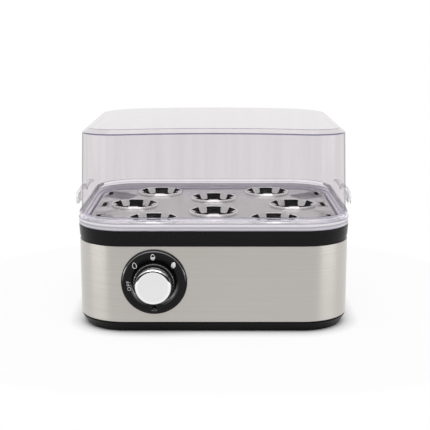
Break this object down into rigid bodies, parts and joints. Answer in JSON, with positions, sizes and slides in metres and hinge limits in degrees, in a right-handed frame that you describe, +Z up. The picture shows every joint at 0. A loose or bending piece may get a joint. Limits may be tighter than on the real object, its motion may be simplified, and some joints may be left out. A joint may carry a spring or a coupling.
{
  "type": "electric egg cooker",
  "caption": "Low steel-banded egg cooker with a timer knob, heated water pan, lift-out egg tray and clear lift-off lid.",
  "frame": {"origin": "on the table, below the middle of the whole outline", "axes": "+X to the right seen from the front, +Y to the back, +Z up; the dial faces -Y"},
  "size_m": [0.2092, 0.1854, 0.145],
  "materials": {
    "clear_plastic": "clear moulded plastic, polished",
    "polished_steel": "polished stainless steel",
    "brushed_band": "horizontally brushed stainless steel",
    "black_housing": "fine satin black",
    "black_gloss": "semi-gloss black",
    "knob_chrome": "satin face, bright edge",
    "pan_coating": "dark non-stick coating",
    "silicone": "grey silicone",
    "foot_rubber": "matt black rubber",
    "cast_aluminium": "machined",
    "element_sheath": "heat-tinted sheath",
    "zinc_steel": "zinc plated",
    "phenolic": "brown moulded",
    "timer_plastic": "off-white moulded",
    "fuse_case": "sleeved",
    "lens_clear": "clear",
    "lamp_glass": "orange glass",
    "brown_insulation": "sleeved",
    "blue_insulation": "sleeved",
    "green_insulation": "sleeved"
  },
  "bodies": {
    "base": {"upper_ring": "black_housing", "steel_band": "brushed_band", "base_shell": "black_housing", "rubber_feet": "foot_rubber", "base_screws": "zinc_steel", "heating_pan": "pan_coating", "pan_gasket": "silicone", "heat_spreader": "cast_aluminium", "heating_element": "element_sheath", "clamp_bar": "zinc_steel", "clamp_nuts": "zinc_steel", "bar_screws": "zinc_steel", "earth_screw": "zinc_steel", "thermostat": "phenolic", "thermal_fuse": "fuse_case", "fuse_clip": "zinc_steel", "clip_rivets": "cast_aluminium", "dial_bezel": "black_gloss", "pilot_lens": "lens_clear", "pilot_lamp": "lamp_glass", "timer_body": "timer_plastic", "timer_bracket": "zinc_steel", "bracket_screws": "zinc_steel", "cord_gland": "black_gloss", "terminal_block": "timer_plastic", "live_lead": "brown_insulation", "switched_lead": "brown_insulation", "neutral_lead": "blue_insulation", "fuse_lead": "brown_insulation", "element_lead": "brown_insulation", "earth_lead": "green_insulation"},
    "knob": {"knob_core": "black_gloss", "knob_cap": "knob_chrome", "shaft_clip": "zinc_steel", "timer_shaft": "zinc_steel"},
    "tray": {"egg_tray": "polished_steel"},
    "lid": {"lid": "clear_plastic"}
  },
  "joints": [
    {"name": "timer_turn", "type": "hinge", "parent": "base", "child": "knob", "pos_m": [-0.0419, -0.08325, 0.0375], "axis": [0, 1, 0], "range_deg": [0, 150]},
    {"name": "tray_lift", "type": "slide", "parent": "base", "child": "tray", "axis": [0, 0, 1], "range_m": [0, 0.055]},
    {"name": "lid_lift", "type": "slide", "parent": "base", "child": "lid", "axis": [0, 0, 1], "range_m": [0, 0.12]}
  ]
}
